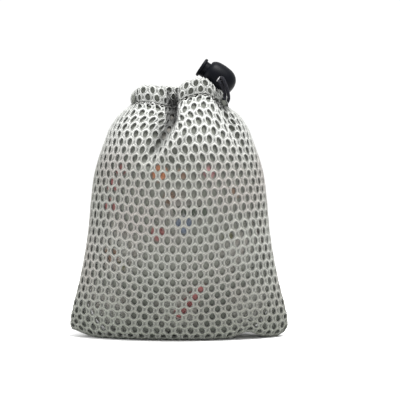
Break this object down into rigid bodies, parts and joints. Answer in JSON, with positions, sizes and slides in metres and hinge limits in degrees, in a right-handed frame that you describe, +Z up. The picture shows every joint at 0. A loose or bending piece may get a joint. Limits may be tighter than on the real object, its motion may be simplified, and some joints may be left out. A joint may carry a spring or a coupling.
{
  "type": "mesh ball bag",
  "caption": "Filled drawstring pouch of perforated spacer mesh holding golf balls, its gathered mouth drawn shut by a round cord with a push-button cord lock.",
  "frame": {"origin": "middle of the bag's footprint, on the surface that it stands on", "axes": "+Z up through the gathered mouth, -Y the bag's front, +X towards the side where the cord lock hangs"},
  "size_m": [0.1586, 0.0897, 0.2002],
  "materials": {
    "spacer_mesh": "off-white polyester spacer mesh with staggered hexagonal holes",
    "seam_binding": "overlocked seam allowance of the same mesh",
    "thread": "off-white polyester sewing thread",
    "cord": "black braided polyester cord",
    "lock_plastic": "black moulded plastic, satin",
    "spring_steel": "plain spring wire",
    "ball_cover": null
  },
  "bodies": {
    "bag": {"front_panel": "spacer_mesh", "back_panel": "spacer_mesh", "side_seam_left": "seam_binding", "side_seam_right": "seam_binding", "bottom_seam": "seam_binding", "golf_ball_01": "ball_cover", "golf_ball_02": "ball_cover", "golf_ball_03": "ball_cover", "golf_ball_04": "ball_cover", "golf_ball_05": "ball_cover", "golf_ball_06": "ball_cover", "golf_ball_07": "ball_cover", "golf_ball_08": "ball_cover", "golf_ball_09": "ball_cover", "golf_ball_10": "ball_cover", "lead_front": "cord", "lead_back": "cord", "tail_front": "cord", "tail_back": "cord", "end_knot": "cord"},
    "mouth_front": {"tunnel_front": "spacer_mesh", "stitching_front": "thread", "drawcord_front": "cord"},
    "mouth_back": {"tunnel_back": "spacer_mesh", "stitching_back": "thread", "drawcord_back": "cord"},
    "lock": {"lock_body": "lock_plastic", "lock_spring": "spring_steel"},
    "button": {"lock_button": "lock_plastic"}
  },
  "joints": [
    {"name": "lock_slide", "type": "slide", "parent": "bag", "child": "lock", "axis": [0, 1, 0], "range_m": [0, 0.03], "deforming": ["lead_front", "lead_back", "tail_front", "tail_back"]},
    {"name": "mouth_front_opens", "type": "slide", "parent": "bag", "child": "mouth_front", "axis": [0, -1, 0], "range_m": [0, 0.018]},
    {"name": "mouth_back_opens", "type": "slide", "parent": "bag", "child": "mouth_back", "axis": [0, 1, 0], "range_m": [0, 0.018]},
    {"name": "button_press", "type": "slide", "parent": "lock", "child": "button", "axis": [0.829, 0, -0.5592], "range_m": [0, 0.0028], "stiffness_N_per_m": 400, "springref_m": -0.004, "deforming": ["lock_spring"]}
  ],
  "couplings": [
    {"joint": "mouth_front_opens", "follows": "lock_slide", "ratio": 0.6},
    {"joint": "mouth_back_opens", "follows": "lock_slide", "ratio": 0.6}
  ]
}
